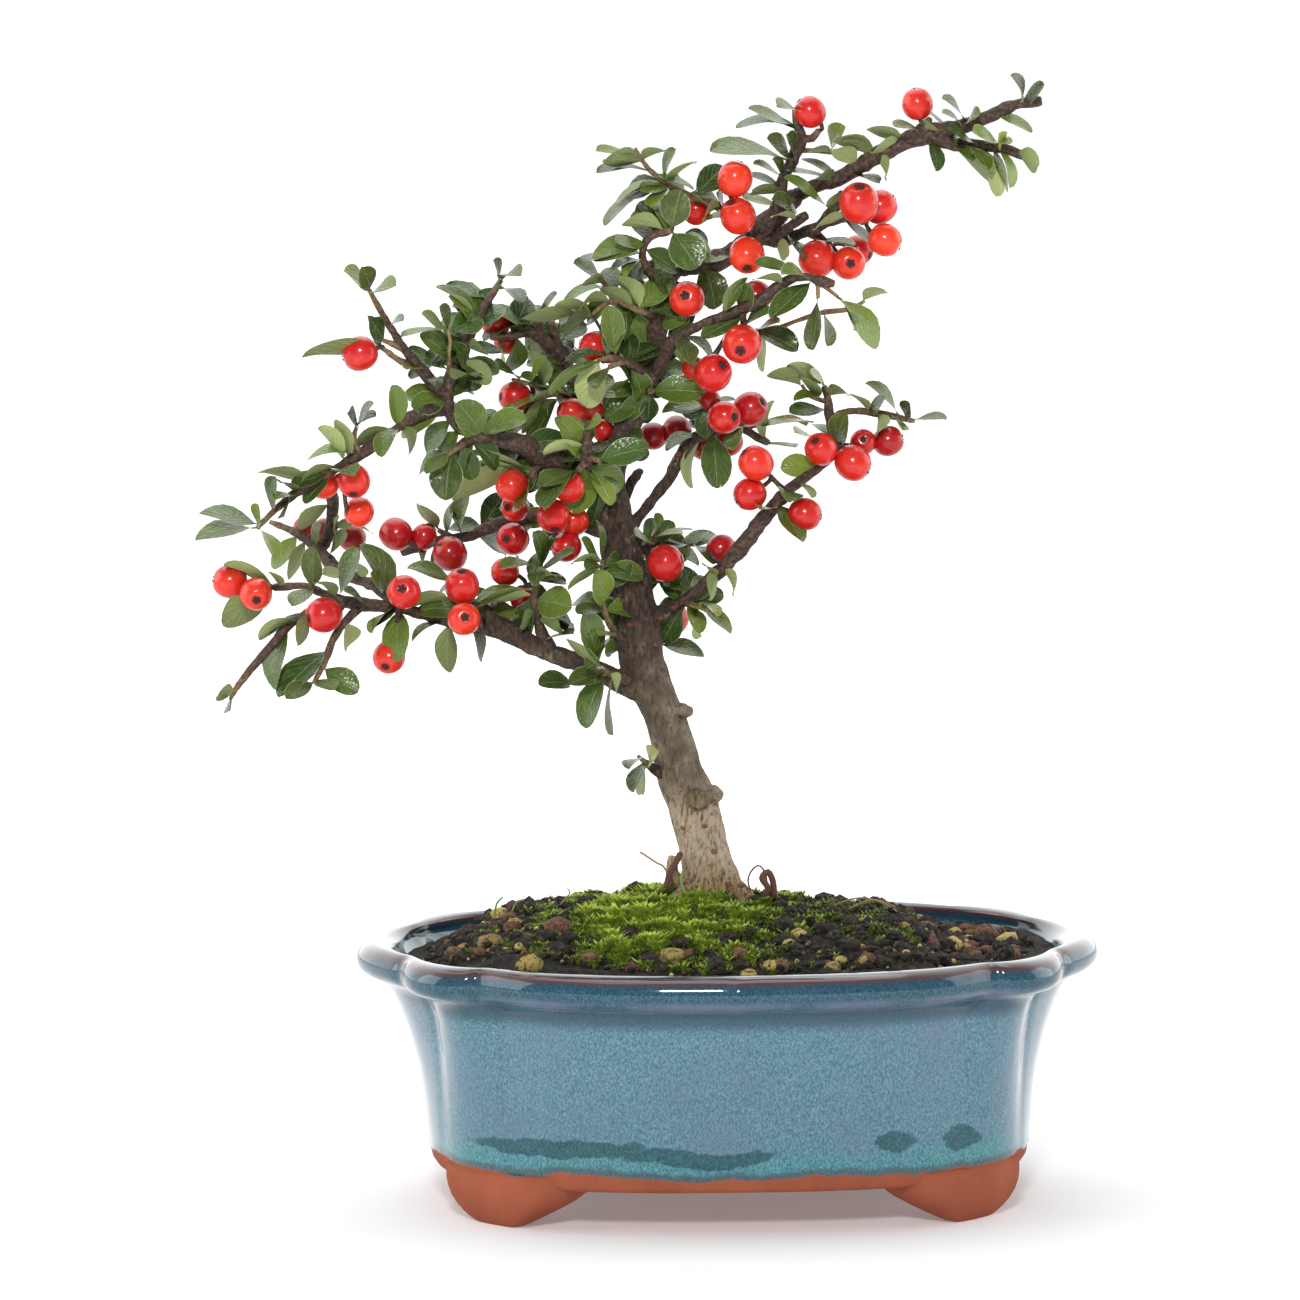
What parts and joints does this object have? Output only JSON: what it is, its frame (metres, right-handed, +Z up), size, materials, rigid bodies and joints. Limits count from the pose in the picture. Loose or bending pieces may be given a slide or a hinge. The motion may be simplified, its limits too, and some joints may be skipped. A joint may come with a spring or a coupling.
{
  "type": "cotoneaster praecox bonsai",
  "caption": "Informal upright cotoneaster bonsai with small glossy leaves and red berries, in a lobed blue glazed pot on cloud feet.",
  "frame": {"origin": "middle of the bounding box at the height of the feet's soles", "axes": "+Z up along the pot's height, +X along the pot's length to the viewer's right, front with the trunk's best side towards -Y"},
  "size_m": [0.239, 0.156, 0.2981],
  "materials": {
    "glaze": "glossy mottled blue-grey glaze",
    "soil": "granular soil with grit",
    "wood": "rough grey-brown bark",
    "leaf": "satin dark green leaves on brown twigs",
    "berry": "glossy red berries",
    "cover": "matt black plastic mesh",
    "wire": "drawn wire"
  },
  "bodies": {
    "root": {"centre_bunch": "berry", "centre_left_berry": "berry", "centre_left_stem": "leaf", "centre_spur": "leaf", "crotch_shoot": "leaf", "drain_cover_left": "cover", "drain_cover_right": "cover", "drain_wire_left": "wire", "drain_wire_right": "wire", "far_left_bunch": "berry", "leader_berry": "berry", "leader_left_bunch": "berry", "leader_stem": "leaf", "left_arch_bunch": "berry", "left_arch_stem": "leaf", "left_crown_bunch": "berry", "left_crown_stem": "leaf", "left_limb_bunch": "berry", "left_limb_stem": "leaf", "limb_berry": "berry", "low_centre_bunch": "berry", "low_centre_shoot": "leaf", "low_left_back_bunch": "berry", "low_left_back_stem": "leaf", "low_left_berry": "berry", "low_left_bunch": "berry", "low_left_stem": "leaf", "low_right_berry": "berry", "low_right_shoot": "leaf", "mid_left_bunch": "berry", "mid_left_stem": "leaf", "middle_bunch": "berry", "pot": "glaze", "right_crown_bunch": "berry", "right_crown_stem": "leaf", "right_low_berry": "berry", "right_low_bunch": "berry", "right_low_stem": "leaf", "right_mid_back_bunch": "berry", "right_mid_bunch": "berry", "right_mid_stem": "leaf", "right_spur_bunch": "berry", "right_spur_stem": "leaf", "right_under_bunch": "berry", "right_upper_bunch": "berry", "right_upper_stem": "leaf", "soil": "soil", "stub_bunch": "berry", "top_berry": "berry", "top_left_twig": "leaf", "top_right_berry": "berry", "top_right_stem": "leaf", "top_shoot": "leaf", "tree_wood": "wood", "trunk_berry": "berry", "trunk_spur": "leaf", "trunk_twig": "leaf", "twig_berry": "berry", "upper_bunch": "berry", "upper_left_berry": "berry"}
  },
  "joints": []
}
